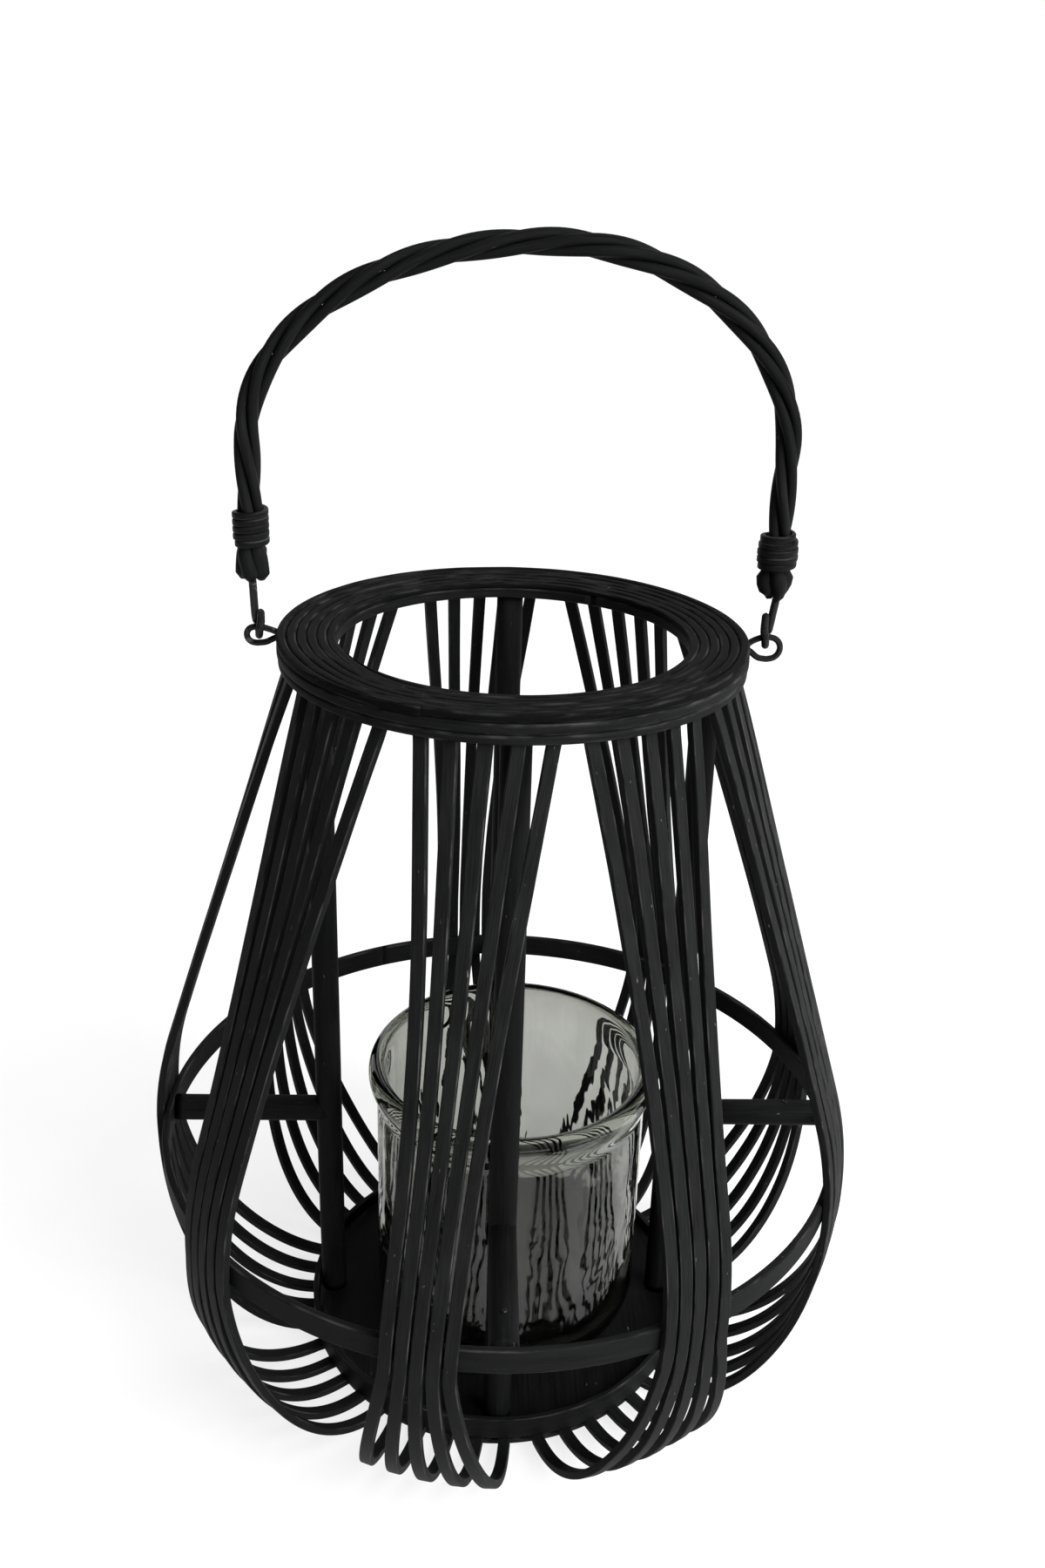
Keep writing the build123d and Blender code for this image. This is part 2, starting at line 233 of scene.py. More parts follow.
STRIP_STAIN = stained_wood("bamboo_stain", 0.0043, 0.035, 2300.0, 62.0, 0.58, worn=0.8, sheen=0.05)
CANE_STAIN = stained_wood("cane_stain", 0.0019, 0.028, 2600.0, 48.0, 0.6, worn=0.5, sheen=0.02)
# The hoops and bands are the same cane as the ring coil, but their stain is a lighter copy of the cane
# stain. The extra lightness is painted light, standing in for light on their front faces.
HOOP_STAIN_AND_PAINTED_LIGHT = stained_wood("hoop_stain_and_painted_light", 0.004, 0.032, 2400.0, 48.0, 0.6, worn=0.7, sheen=0.04)
DOWEL_STAIN = stained_wood("dowel_stain", 0.0032, 0.03, 1500.0, 42.0, 0.62, sheen=0.05)
BOARD_STAIN = stained_wood("board_stain", 0.0028, 0.03, 900.0, 26.0, 0.6, sheen=0.06)
HANDLE_STAIN = stained_wood("handle_stain", 0.0032, 0.03, 2400.0, 70.0, 0.54, sheen=0.06)
CORD_STAIN = stained_wood("binding_stain", 0.0028, 0.03, 3200.0, 110.0, 0.5, worn=0.6, sheen=0.08)
ENAMEL = painted_wire()
GLASS = rippled_glass()

# ---------------------------------------------------------------- meshes

ROUND_END_LEAST = 0.25  # what is left of a section at the very tip of a rounded end
BUTT_GAP = 0.25 * MM  # between a bent hoop's two ends
HOOP_SPACING = 3.5 * MM


class Skin:
    """Collects the surfaces of one piece, with the grain and wear that its material reads.

    Grain is the distance round the section, the distance along the piece, and a seed. Wear is 1 on sharp
    edges.
    """

    def __init__(self):
        self.points, self.faces, self.grain, self.wear = [], [], [], []

    def sweep(self, stations, section, seed=0.0):
        """Skins a section along stations of (centre, across, up, travelled, width scale, height scale)."""
        first, count = len(self.points), len(section)
        girth = 0.0
        around = []
        for index, (across, up, _) in enumerate(section):
            around.append(girth)
            ahead = section[(index + 1) % count]
            girth += hypot(ahead[0] - across, ahead[1] - up)
        for centre, across_way, up_way, travelled, wide, high in stations:
            for (across, up, wear), distance in zip(section, around):
                self.points.append(centre + across_way * (across * wide) + up_way * (up * high))
                self.grain.append((distance, travelled, seed))
                self.wear.append(wear)
        for ring in range(len(stations) - 1):
            here = first + ring * count
            for index in range(count):
                ahead = (index + 1) % count
                self.faces.append((here + index, here + ahead, here + count + ahead, here + count + index))
        self.faces.append(tuple(range(first, first + count)))
        last = first + (len(stations) - 1) * count
        self.faces.append(tuple(range(last, last + count)))

    def lathe(self, profile, centre, segments, seed=0.0, swell=None):
        """Turns a profile of (radius, height, wear) points about a vertical axis through centre.

        Swell is a function of (turn, radius, height) that gives an extra radius. Grain runs level, along Y.
        """
        rings = []
        for radius, height, wear in profile:
            ring = []
            for index in range(segments if radius > 0 else 1):
                turn = tau * index / segments
                reach = radius + (swell(turn, radius, height) if swell else 0.0)
                point = Vector((centre[0] + reach * sin(turn), centre[1] - reach * cos(turn), height))
                ring.append(len(self.points))
                self.points.append(point)
                self.grain.append((point.x, point.y, seed + 20 * height))
                self.wear.append(wear)
            rings.append(ring)
        for below, above in zip(rings, rings[1:]):
            for index in range(segments):
                ahead = (index + 1) % segments
                low = [below[index % len(below)], below[ahead % len(below)]]
                high = [above[ahead % len(above)], above[index % len(above)]]
                corners = list(dict.fromkeys(low + high))
                if len(corners) > 2:
                    self.faces.append(tuple(corners))

    def piece(self, name, body, slot, material, *nodes):
        """The finished object, riding on its body in place of its CAD nodes."""
        mesh = bpy.data.meshes.new(name)
        mesh.from_pydata(self.points, [], self.faces)
        grain = mesh.attributes.new("grain", "FLOAT_VECTOR", "POINT")
        grain.data.foreach_set("vector", [value for triple in self.grain for value in triple])
        wear = mesh.attributes.new("wear", "FLOAT", "POINT")
        wear.data.foreach_set("value", self.wear)
        shell = bmesh.new()
        shell.from_mesh(mesh)
        bmesh.ops.recalc_face_normals(shell, faces=shell.faces)
        shell.to_mesh(mesh)
        shell.free()
        mesh.polygons.foreach_set("use_smooth", [True] * len(mesh.polygons))
        mesh.materials.append(material)
        piece = bpy.data.objects.new(name, mesh)
        bpy.context.scene.collection.objects.link(piece)
        piece.modifiers.new("weighted_normals", "WEIGHTED_NORMAL").keep_sharp = True
        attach(piece, body)
        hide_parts(*nodes)
        return piece


def bar_section(width, height, corner, steps=4):
    """A rounded rectangle's points (across, up, wear). Wear peaks in the middle of each corner."""
    section = []
    for quarter, (across, up) in enumerate(((1, 1), (-1, 1), (-1, -1), (1, -1))):
        for step in range(steps + 1):
            turn = radians(90 * (quarter + step / steps))
            wear = 1 - abs(2 * step / steps - 1)
            x = across * (width / 2 - corner) + corner * cos(turn)
            y = up * (height / 2 - corner) + corner * sin(turn)
            section.append((x, y, wear))
    return section


def round_section(radius, sides):
    """A circle's points (across, up, wear), with no worn edge."""
    turns = [tau * side / sides for side in range(sides)]
    return [(radius * cos(turn), radius * sin(turn), 0.0) for turn in turns]


def evenly(points, spacing):
    """A polyline's points again at equal spacing: [(point, travelled)]."""
    lengths = [0.0]
    for here, ahead in zip(points, points[1:]):
        lengths.append(lengths[-1] + (ahead - here).length)
    count = ceil(lengths[-1] / spacing)
    even, leg = [], 0
    for index in range(count + 1):
        travelled = lengths[-1] * index / count
        while leg < len(points) - 2 and lengths[leg + 1] < travelled:
            leg += 1
        share = (travelled - lengths[leg]) / (lengths[leg + 1] - lengths[leg])
        even.append((points[leg].lerp(points[leg + 1], share), travelled))
    return even


def through(points, per_span=12):
    """A smooth line through given points, by Catmull-Rom spans."""
    padded = [2 * points[0] - points[1], *points, 2 * points[-1] - points[-2]]
    line = []
    for index in range(1, len(padded) - 2):
        before, start, end, after = padded[index - 1:index + 3]
        for step in range(per_span):
            t = step / per_span
            point = 2 * start + (end - before) * t
            point += (2 * before - 5 * start + 4 * end - after) * t * t
            point += (3 * start - before - 3 * end + after) * t ** 3
            line.append(0.5 * point)
    line.append(points[-1])
    return line


def rounded_end(distance, reach):
    """Scale of a section that closes in a round end, at a distance from that end."""
    if distance >= reach:
        return 1.0
    short = 1 - distance / reach
    return max(ROUND_END_LEAST, (1 - short * short) ** 0.5)


def tube_stations(points, normal, spacing, end_reach=0.0):
    """Stations along a wire or cane whose bends lie mostly at right angles to normal."""
    even = evenly(points, spacing)
    length = even[-1][1]
    stations = []
    for index, (point, travelled) in enumerate(even):
        before, after = even[max(0, index - 1)][0], even[min(len(even) - 1, index + 1)][0]
        along = (after - before).normalized()
        across = (normal - along * normal.dot(along)).normalized()
        scale = rounded_end(min(travelled, length - travelled), end_reach) if end_reach else 1.0
        stations.append((point, across, along.cross(across), travelled, scale, scale))
    return stations


def hoop_stations(radius, height, joint):
    """Level stations once round the axis, from a butt joint at one bearing back to it."""
    joint_gap = degrees(BUTT_GAP / radius)
    count = ceil(tau * radius / HOOP_SPACING)
    stations = []
    for index in range(count + 1):
        bearing = joint + joint_gap / 2 + (360 - joint_gap) * index / count
        out = bearing_out(bearing)
        centre = out * radius + UP * height
        stations.append((centre, out, UP, radius * radians(bearing), 1.0, 1.0))
    return stations


# ---------------------------------------------------------------- boards

BOARD_SEGMENTS = 180
BOARD_EDGE_WEAR = 0.8


def board(name, corner):
    """A turned disc with softened edges, in place of a CAD board."""
    radius = radius_of(name)
    low, high = height_range(name)
    rim = [(radius - corner, low), (radius - 0.3 * corner, low + 0.3 * corner), (radius, low + corner)]
    rim += [(radius, high - corner), (radius - 0.3 * corner, high - 0.3 * corner), (radius - corner, high)]
    flat = [radius * share for share in (0, 0.12, 0.3, 0.5, 0.7, 0.85, 0.95)]
    profile = [(reach, low, 0.0) for reach in flat]
    profile += [(reach, height, BOARD_EDGE_WEAR) for reach, height in rim]
    profile += [(reach, high, 0.0) for reach in reversed(flat)]
    disc = Skin()
    disc.lathe(profile, (0, 0), BOARD_SEGMENTS, seed=dice.random())
    disc.piece(name + "_disc", "frame", "board", BOARD_STAIN, name)


board("bottom_board", 0.7 * MM)
board("base_board", 0.6 * MM)

# ---------------------------------------------------------------- hoops and bands

RIM_THICKNESS = 2.5 * MM
HOOP_THICKNESS = 3.0 * MM
BAND_THICKNESS = 2.9 * MM


def hoop(node, thickness, corner, joint):
    """A bent flat cane in place of a CAD hoop, its ends meeting in a butt joint."""
    outer = radius_of(node)
    low, high = height_range(node)
    skin = Skin()
    section = bar_section(thickness, high - low, corner)
    stations = hoop_stations(outer - thickness / 2, (low + high) / 2, joint)
    skin.sweep(stations, section, seed=dice.random())
    # Its stain is the cane stain made lighter with painted light.
    skin.piece(node + "_cane", "frame", "bent_cane", HOOP_STAIN_AND_PAINTED_LIGHT, node)


hoop("base_rim", RIM_THICKNESS, 0.7 * MM, joint=216)
hoop("middle_hoop", HOOP_THICKNESS, 0.9 * MM, joint=205)
hoop("upper_band", BAND_THICKNESS, 1.3 * MM, joint=160)
hoop("lower_band", BAND_THICKNESS, 1.25 * MM, joint=245)

# ---------------------------------------------------------------- dowels

DOWEL_SPANS = 8
DOWEL_BOW = 0.25 * MM
DOWEL_SPACING = 4.0 * MM
COPE_DEPTH = 4.5 * MM  # how far a spoke's hollowed end reaches back over the round of its post


def dowel(name, start, end, radius, node, normal):
    """A round dowel, a little out of true."""
    seed = dice.random() * 9
    line = []
    for index in range(DOWEL_SPANS + 1):
        share = index / DOWEL_SPANS
        bow = normal * wander(seed, 3 * share, DOWEL_BOW)
        line.append(start.lerp(end, share) + bow)
    skin = Skin()
    skin.sweep(tube_stations(line, normal, DOWEL_SPACING), round_section(radius, 36), seed=seed)
    skin.piece(name, "frame", "dowel", DOWEL_STAIN, node)


hoop_low, hoop_high = height_range("middle_hoop")
spoke_height = (hoop_low + hoop_high) / 2
spoke_end = radius_of("middle_hoop") - HOOP_THICKNESS
for side, bearing in (("front", 0), ("right", 90), ("rear", 180), ("left", 270)):
    low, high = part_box(side + "_post")
    middle = (low + high) / 2
    dowel_radius = (high.x - low.x) / 2
    foot, top = Vector((middle.x, middle.y, low.z)), Vector((middle.x, middle.y, high.z))
    dowel(side + "_post_dowel", foot, top, dowel_radius, side + "_post", Vector((1, 0, 0)))
    out = bearing_out(bearing)
    post_face = out * (hypot(middle.x, middle.y) + dowel_radius - COPE_DEPTH) + UP * spoke_height
    hoop_face = out * spoke_end + UP * spoke_height
    dowel(side + "_spoke_dowel", post_face, hoop_face, dowel_radius, side + "_spoke", UP)

# Domed nail heads on the spokes.
NAIL_RADIUS = 1.1 * MM
NAIL_SETBACK = 16.0 * MM
NAIL_SINK = 0.4 * MM  # how far each head reaches into its spoke
NAIL_DOME = ((0, 1), (0.7, 1), (0.85, 0.93), (0.95, 0.72), (1, 0.35))  # shares of its height and radius
nail_low, nail_high = height_range("spoke_nails")
nails = Skin()
for bearing in (0, 90, 180, 270):
    foot = bearing_out(bearing) * (spoke_end - NAIL_SETBACK) + UP * (nail_low - NAIL_SINK)
    rise = nail_high - nail_low + NAIL_SINK
    dome = [(foot + UP * (rise * up), Vector((1, 0, 0)), Vector((0, 1, 0)), rise * up, wide, wide)
            for up, wide in NAIL_DOME]
    nails.sweep(dome, round_section(NAIL_RADIUS, 20))
nails.piece("spoke_nail_heads", "frame", "black_wire", ENAMEL, "spoke_nails")

# ---------------------------------------------------------------- bent strips

STRIP_WIDTH = 5.0 * MM
STRIP_THICKNESS = 3.2 * MM
STRIP_CORNER = 0.55 * MM
END_PITCH = 8.0
HOOP_PITCH = 2.27
FAN_POWER_BELOW = 1.2
FAN_POWER_ABOVE = 2.4
RING_BEARINGS = (-7, 32, 71, 109, 147, 189, 231, 271, 312)
HOOP_BEARINGS = (-12, 28, 67, 109, 147, 187, 227, 268, 310)
BASE_BEARINGS = (-14, 28, 67, 110, 147, 187, 227, 267, 308)
STRIP_INNER_END = 61.0 * MM
BELLY_START = 84.2 * MM
BELLY_WIDTH = 62.3 * MM
BELLY_HEIGHT = 103.0 * MM
SHOULDER_RADIUS = 148.4 * MM
SHOULDER_LEAN = radians(18.3)
TUCK_BEND_RADIUS = 15.0 * MM
TUCK_RADIUS = 83.7 * MM
STRIP_SPACING = 3.0 * MM
STRIP_SWAY = 0.7  # degrees that a strip strays from its bearing where the fan is widest
STRIP_SINK = 0.9 * MM  # how far a strip's curve may run inside its nominal one
STRIP_ROLL = 5.0  # degrees that a strip's flat turns about its own line
STRIP_THINNING = 0.05  # largest share by which a strip is thinner in places
HELD_BELOW = 30.0 * MM  # the length at a strip's foot that the boards hold true
HELD_ABOVE = 20.0 * MM  # the length at its top that the ring holds true
FREE_EASE = 70.0 * MM  # from where it is held to where it strays fully
STRIP_PLACES = range(-2, 3)  # the five strips of a bundle, counted from its middle one

strip_middle = height_range("bottom_board")[1] + STRIP_THICKNESS / 2
strip_top = height_range("slat_bundle_1")[1]


def strip_outline():
    """A strip's middle line as (radius, 0, height) points, and where along it the belly starts and ends."""
    belly_drop = BELLY_HEIGHT - strip_middle
    line = [Vector((STRIP_INNER_END, 0, strip_middle))]
    for step in range(41):
        turn = pi / 2 * step / 40
        reach = BELLY_START + BELLY_WIDTH * sin(turn)
        line.append(Vector((reach, 0, BELLY_HEIGHT - belly_drop * cos(turn))))
    widest = line[-1]
    belly_length = sum((ahead - here).length for here, ahead in zip(line[1:], line[2:]))
    for step in range(1, 17):
        turn = SHOULDER_LEAN * step / 16
        line.append(widest + Vector((SHOULDER_RADIUS * (cos(turn) - 1), 0, SHOULDER_RADIUS * sin(turn))))
    tuck_drift = TUCK_BEND_RADIUS * (1 - cos(SHOULDER_LEAN))
    flank_length = (line[-1].x - TUCK_RADIUS - tuck_drift) / sin(SHOULDER_LEAN)
    tuck_start = line[-1] + Vector((-sin(SHOULDER_LEAN), 0, cos(SHOULDER_LEAN))) * flank_length
    for step in range(9):
        turn = SHOULDER_LEAN * (1 - step / 8)
        rise = TUCK_BEND_RADIUS * (sin(SHOULDER_LEAN) - sin(turn))
        line.append(Vector((TUCK_RADIUS + TUCK_BEND_RADIUS * (1 - cos(turn)), 0, tuck_start.z + rise)))
    line.append(Vector((TUCK_RADIUS, 0, strip_top)))
    belly_start = BELLY_START - STRIP_INNER_END
    return line, belly_start, belly_start + belly_length


def strip_stations(bundle, place, seed):
    """Stations up one strip. Place counts strips from the bundle's middle."""
    line, belly_start, belly_end = strip_outline()
    even = evenly(line, STRIP_SPACING)
    length = even[-1][1]
    stations = []
    for index, (point, travelled) in enumerate(even):
        if travelled < belly_end:
            spread = 1 - max(0.0, travelled - belly_start) / (belly_end - belly_start)
            power, far = FAN_POWER_BELOW, BASE_BEARINGS[bundle]
        else:
            spread = (point.z - BELLY_HEIGHT) / (strip_top - BELLY_HEIGHT)
            power, far = FAN_POWER_ABOVE, RING_BEARINGS[bundle]
        fan = max(0.0, spread) ** power
        free = smoothstep(min(travelled - HELD_BELOW, length - travelled - HELD_ABOVE) / FREE_EASE)
        bearing = HOOP_BEARINGS[bundle] + (far - HOOP_BEARINGS[bundle]) * spread
        bearing += place * (HOOP_PITCH + (END_PITCH - HOOP_PITCH) * fan)
        bearing += wander(seed, 9 * travelled, STRIP_SWAY) * (0.12 + 0.88 * fan)
        sink = free * (wander(seed + 40, 11 * travelled, 0.5) - 0.5) * STRIP_SINK
        before, after = even[max(0, index - 1)][0], even[min(len(even) - 1, index + 1)][0]
        slope = (after - before).normalized()
        out = bearing_out(bearing)
        side = bearing_side(bearing)
        along = out * slope.x + UP * slope.z
        face = out * slope.z - UP * slope.x
        roll = radians(wander(seed + 80, 14 * travelled, STRIP_ROLL) * free)
        across = side * cos(roll) + face * sin(roll)
        outer = face * cos(roll) - side * sin(roll)
        centre = out * point.x + UP * point.z + face * sink
        thin = 1 - STRIP_THINNING * abs(wander(seed + 9, 25 * travelled))
        stations.append((centre, across, outer, travelled, thin, thin))
    return stations


strip_section = bar_section(STRIP_WIDTH, STRIP_THICKNESS, STRIP_CORNER)
for bundle in range(len(RING_BEARINGS)):
    strips = Skin()
    for place in STRIP_PLACES:
        seed = 5.3 * bundle + place + dice.random()
        strips.sweep(strip_stations(bundle, place, seed), strip_section, seed=seed)
    node = f"slat_bundle_{bundle + 1}"
    strips.piece(node + "_strips", "frame", "bamboo_strip", STRIP_STAIN, node)

# ---------------------------------------------------------------- top ring

RING_HOLE_RADIUS = 66.0 * MM
RING_BOARD_CORNER = 0.8 * MM

ring_low, ring_high = height_range("ring_board")
ring_skin = Skin()
ring_outer = radius_of("ring_board")
ring_middle = (ring_outer + RING_HOLE_RADIUS) / 2
ring_section = bar_section(ring_outer - RING_HOLE_RADIUS, ring_high - ring_low, RING_BOARD_CORNER)
ring_stations = hoop_stations(ring_middle, (ring_low + ring_high) / 2, joint=150)
ring_skin.sweep(ring_stations, ring_section, seed=dice.random())
ring_skin.piece("ring_board_hoop", "frame", "board", BOARD_STAIN, "ring_board")

COIL_TURNS = 6
COIL_JOINT = 270.0  # bearing at which every turn steps inwards to the next
COIL_JOG = 46.0  # degrees that the step takes
COIL_DISH = 1.3 * MM  # how much lower the innermost turn lies
COIL_ROUGHNESS = 0.12 * MM  # how unevenly high the turns lie
COIL_FLATTENING = 0.06  # largest share by which a turn is flatter in places
COIL_CORNER = 1.25 * MM
COIL_GAP = 0.08 * MM  # between turns
COIL_PARED = 0.12  # share of its width left at the cane's pared ends
COIL_TYPICAL_RADIUS = 76.0 * MM
COIL_SPACING = 2.5 * MM
coil_low, coil_high = height_range("ring_coil")
coil_outer = radius_of("ring_coil")
coil_step = (coil_outer - RING_HOLE_RADIUS) / COIL_TURNS
cane_width = coil_step - COIL_GAP
cane_height = coil_high - coil_low


def coil_stations():
    """One cane wound flat from the outside in, with both ends pared away where the turns step inwards."""
    jog = COIL_JOG / 360
    first, last = -jog, COIL_TURNS
    count = ceil((last - first) * tau * COIL_TYPICAL_RADIUS / COIL_SPACING)
    stations = []
    travelled = 0.0
    for index in range(count + 1):
        turns = first + (last - first) * index / count
        whole = int(turns // 1)
        stepped = smoothstep((turns - whole - (1 - jog)) / jog)
        outer_edge = coil_outer - coil_step * max(0.0, whole + stepped)
        inner_edge = coil_outer - coil_step * min(COIL_TURNS, whole + 1 + stepped)
        wide = max(COIL_PARED * coil_step, outer_edge - inner_edge) / coil_step
        radius = (outer_edge + inner_edge) / 2
        bearing = COIL_JOINT + COIL_JOG / 2 - 360 * turns
        out = bearing_out(bearing)
        inwards = (coil_outer - radius) / (coil_outer - RING_HOLE_RADIUS)
        flat = 1 - COIL_FLATTENING * abs(wander(whole + 3.3, 5 * out.x + 3 * out.y))
        dip = COIL_ROUGHNESS * (1 + wander(whole + 0.7, 4 * out.y + 2 * out.x))
        crown = coil_high - COIL_DISH * inwards - dip
        height = (crown - coil_low) * flat
        centre = out * radius + UP * (coil_low + height / 2)
        stations.append((centre, out, UP, travelled, wide, height / cane_height))
        travelled -= radius * radians(360 * (last - first) / count)
    return stations


coil = Skin()
coil_section = bar_section(cane_width, cane_height, COIL_CORNER, steps=5)
coil.sweep(coil_stations(), coil_section, seed=dice.random())
coil.piece("ring_coil_cane", "frame", "bent_cane", CANE_STAIN, "ring_coil")

# ---------------------------------------------------------------- eyes and hooks

EYE_WIRE_RADIUS = 1.2 * MM
HOOK_WIRE_RADIUS = 1.5 * MM
HOOK_PLAY = 0.3 * MM
HOOK_SLIP = 0.26 * MM  # how far the hook's loop drifts sideways at each of its points, to pass its shank
WIRE_SPACING = 0.5 * MM
hinge_height = next(joint for joint in frame["joints"] if joint["name"] == "handle_swing")["pos_m"][2]
left_hook_low, left_hook_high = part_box("left_hook")
handle_half_span = -(left_hook_low.x + left_hook_high.x) / 2
band_inner = radius_of("upper_band") - BAND_THICKNESS


def wire(name, points, normal, radius, body, node):
    """A round wire through given points, with rounded ends."""
    skin = Skin()
    skin.sweep(tube_stations(through(points), normal, WIRE_SPACING, radius), round_section(radius, 16))
    skin.piece(name, body, "black_wire", ENAMEL, node)


def eye_points(side, drop):
    """A long loop whose two ends are driven into the ring, its top run on the hinge line.

    Its straight stretches follow listed points, from one end round the loop to the other.
    """
    entry = band_inner + 0.5 * MM
    run_start, run_end = handle_half_span - 2.6 * MM, handle_half_span + 0.3 * MM
    bend = drop / 2
    middle = hinge_height - bend
    places = [(entry, middle - 0.9 * MM), (entry + 3.2 * MM, middle - 1.0 * MM)]
    places.append((run_start - 1.2 * MM, hinge_height - 0.93 * drop))
    places.append((run_start + 1.6 * MM, hinge_height - drop))
    for step in range(7):
        turn = pi * step / 6
        places.append((run_end + bend * sin(turn), middle - bend * cos(turn)))
    places += [(run_end - 1.4 * MM, hinge_height), (run_start, hinge_height - 0.1 * MM)]
    places += [(entry + 4.6 * MM, middle + 0.32 * drop), (entry + 2.4 * MM, middle + 1.2 * MM)]
    places.append((entry, middle + 1.0 * MM))
    return [Vector((side * x, 0, z)) for x, z in places]


for side, name, drop in ((-1, "left", 6.2 * MM), (1, "right", 8.6 * MM)):
    points = eye_points(side, drop)
    wire(name + "_wire_eye", points, Vector((0, 1, 0)), EYE_WIRE_RADIUS, "frame", name + "_eye")


def hook_points(side, top, lean, tail):
    """Down from the binding, round the eye's top run and up again beside its own shank.

    Lean is how far the shank's top stands towards +X, and tail is how far the free end reaches up.
    """
    x = side * handle_half_span
    loop = EYE_WIRE_RADIUS + HOOK_PLAY + HOOK_WIRE_RADIUS
    points = [Vector((x + lean, 0, top)), Vector((x + 0.5 * lean, 0, (top + hinge_height) / 2 + loop))]
    points.append(Vector((x + 0.1 * lean, 0.15 * MM, hinge_height + 2.1 * loop)))
    for step in range(10):
        turn = radians(58 - 32 * step)
        slip = -side * HOOK_SLIP * step
        points.append(Vector((x + slip, loop * cos(turn), hinge_height + loop * sin(turn))))
    points.append(points[-1] + Vector((0, 0.6 * MM, 1.9 * MM)))
    points.append(points[-1] + Vector((0.1 * lean, 0.5 * MM, tail - 1.9 * MM)))
    return points


hook_top = {-1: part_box("left_hook")[1].z, 1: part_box("right_hook")[1].z}
for side, name, lean, tail in ((-1, "left", -0.5 * MM, 5.0 * MM), (1, "right", 1.6 * MM, 7.5 * MM)):
    points = hook_points(side, hook_top[side], lean, tail)
    wire(name + "_wire_hook", points, Vector((1, 0, 0)), HOOK_WIRE_RADIUS, "handle", name + "_hook")

# ---------------------------------------------------------------- twisted handle

CANE_COUNT = 4
CANE_RADIUS = 1.95 * MM
CANE_OFFSET = 2.87 * MM
TWIST_PITCH = 95.0 * MM
HANDLE_LEG_TOP = 397.0 * MM
HANDLE_RISE = 68.5 * MM
HANDLE_APEX_OFFSET = 10.5 * MM
CANE_SPACING = 2.2 * MM
CANE_SETTLING = 0.22 * MM  # how much closer together the canes lie in places
CANE_THINNING = 0.04  # largest share by which a cane is thinner in places
LEFT_FOOT = 346.0 * MM  # height of the canes' left ends
RIGHT_FOOT = 340.0 * MM
LEFT_KNUCKLE = 13.6 * MM  # length of the blunt cluster that the cane ends swell into below the left binding
LEFT_SPREAD = 0.35 * MM
LEFT_SWELL = 0.78
RIGHT_KNUCKLE = 14.6 * MM  # length over which they swell below the right one, then gather round the wire
RIGHT_SPREAD = 0.95 * MM
RIGHT_GATHER = 2.2 * MM
RIGHT_SWELL = 0.6
RIGHT_TAPER = 0.75
CANE_DIFFERENCE = 0.06  # from one cane's swelling to the next one's
LONGEST_TRIM = 2.6  # millimetres that a cane may stop short of the right end


def bail_line():
    """The handle's middle line, from the left end over the top to the right end."""
    line = [Vector((-handle_half_span, 0, LEFT_FOOT))]
    for step in range(121):
        turn = pi * (1 - step / 120)
        reach = handle_half_span - HANDLE_APEX_OFFSET * (1 if turn < pi / 2 else -1)
        x = HANDLE_APEX_OFFSET + reach * cos(turn)
        line.append(Vector((x, 0, HANDLE_LEG_TOP + HANDLE_RISE * sin(turn))))
    line.append(Vector((handle_half_span, 0, RIGHT_FOOT)))
    return evenly(line, CANE_SPACING)


def cane_reach(number, from_left, from_right):
    """Offset from the handle's middle line, and thickness, near the splayed left and gathered right ends."""
    swollen = smoothstep(4 * (1 - from_left / LEFT_KNUCKLE))
    offset = CANE_OFFSET + LEFT_SPREAD * swollen
    thick = 1.0 + (LEFT_SWELL - CANE_DIFFERENCE * number) * swollen
    gathered = 1 - from_right / RIGHT_KNUCKLE
    bulge, taper = smoothstep(4 * gathered), smoothstep(1.5 * gathered - 0.5)
    offset += RIGHT_SPREAD * bulge - RIGHT_GATHER * taper
    thick += (RIGHT_SWELL + CANE_DIFFERENCE * number) * bulge - RIGHT_TAPER * taper
    return offset, thick


def cane_stations(number):
    """Stations along one cane of the twist."""
    across = Vector((0, 1, 0))
    line = bail_line()
    length = line[-1][1]
    end_trim = dice.uniform(0.0, LONGEST_TRIM) * MM
    centres = []
    for index, (point, travelled) in enumerate(line):
        from_right = length - travelled
        if from_right < end_trim:
            break
        before, after = line[max(0, index - 1)][0], line[min(len(line) - 1, index + 1)][0]
        away = (after - before).normalized().cross(across)
        turn = tau * (number / CANE_COUNT + travelled / TWIST_PITCH)
        offset, thick = cane_reach(number, travelled, from_right)
        offset -= CANE_SETTLING * (0.5 + wander(number + 2.1, 30 * travelled, 0.5))
        thick *= 1 - CANE_THINNING * abs(wander(number + 6.4, 45 * travelled))
        centres.append((point + (away * cos(turn) + across * sin(turn)) * offset, travelled, thick))
    stations = []
    reach = 1.5 * CANE_RADIUS
    for index, (centre, travelled, thick) in enumerate(centres):
        before, after = centres[max(0, index - 1)][0], centres[min(len(centres) - 1, index + 1)][0]
        along = (after - before).normalized()
        width_way = (across - along * across.dot(along)).normalized()
        scale = thick * rounded_end(min(travelled, centres[-1][1] - travelled) + 0.3 * MM, reach)
        stations.append((centre, width_way, along.cross(width_way), travelled, scale, scale))
    return stations


for number in range(CANE_COUNT):
    rod = Skin()
    rod.sweep(cane_stations(number), round_section(CANE_RADIUS, 18), seed=number + dice.random())
    node = f"handle_cane_{number + 1}"
    rod.piece(node + "_rod", "handle", "handle_cane", HANDLE_STAIN, node)

# ---------------------------------------------------------------- bindings

BINDING_TURNS = 6
CORD_THICKNESS = 1.8 * MM
CORD_CORNER = 0.7 * MM
CORD_TUCK = 0.9 * MM  # how far the cord's ends are pulled in under its turns
CORD_WAVER = 0.12 * MM
STEPS_PER_TURN = 30
CORD_START = {-1: 2.4, 1: 0.6}  # the turn at which each binding's cord starts, in radians


